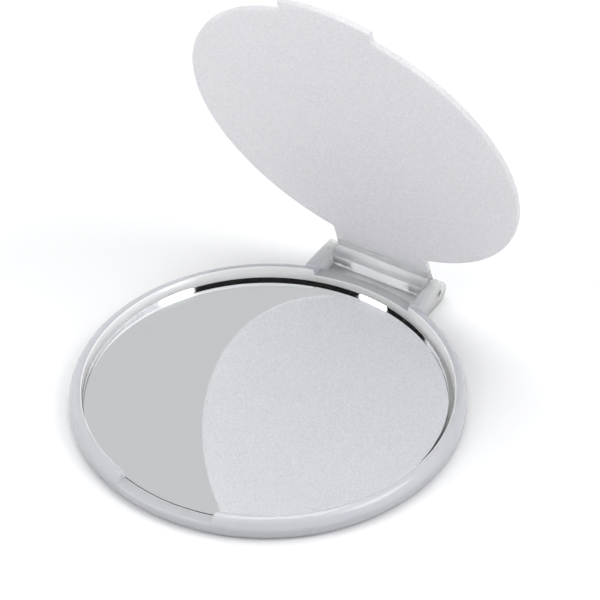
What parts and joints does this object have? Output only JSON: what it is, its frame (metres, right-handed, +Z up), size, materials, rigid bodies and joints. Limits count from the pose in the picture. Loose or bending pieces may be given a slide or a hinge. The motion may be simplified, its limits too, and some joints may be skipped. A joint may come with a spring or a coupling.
{
  "type": "pocket mirror compact",
  "caption": "Slim round pocket mirror compact: a frosted plastic tray with a glass mirror, and a flat lid on a pin hinge, stood open.",
  "frame": {"origin": "centre of the tray's flat underside", "axes": "+Z up out of the mirror, +Y towards the hinge, +X along the hinge axis"},
  "size_m": [0.06, 0.0656, 0.0634],
  "materials": {
    "frosted_plastic": "milky white polystyrene, finely frosted",
    "adhesive": "off-white double-sided foil",
    "backing_paint": "grey protective paint",
    "silvering": "polished silver film",
    "glass": "clear float glass, ground edge",
    "steel": "bright drawn steel"
  },
  "bodies": {
    "base": {"base_tray": "frosted_plastic", "mirror_adhesive": "adhesive", "mirror_backing_paint": "backing_paint", "mirror_silvering": "silvering", "mirror_glass": "glass", "hinge_pin_left": "steel", "hinge_pin_right": "steel"},
    "lid": {"lid": "frosted_plastic"}
  },
  "joints": [
    {"name": "lid_hinge", "type": "hinge", "parent": "base", "child": "lid", "pos_m": [0, 0.0338, 0.00195], "axis": [-1, 0, 0], "range_deg": [-72.7, 107.3]}
  ]
}
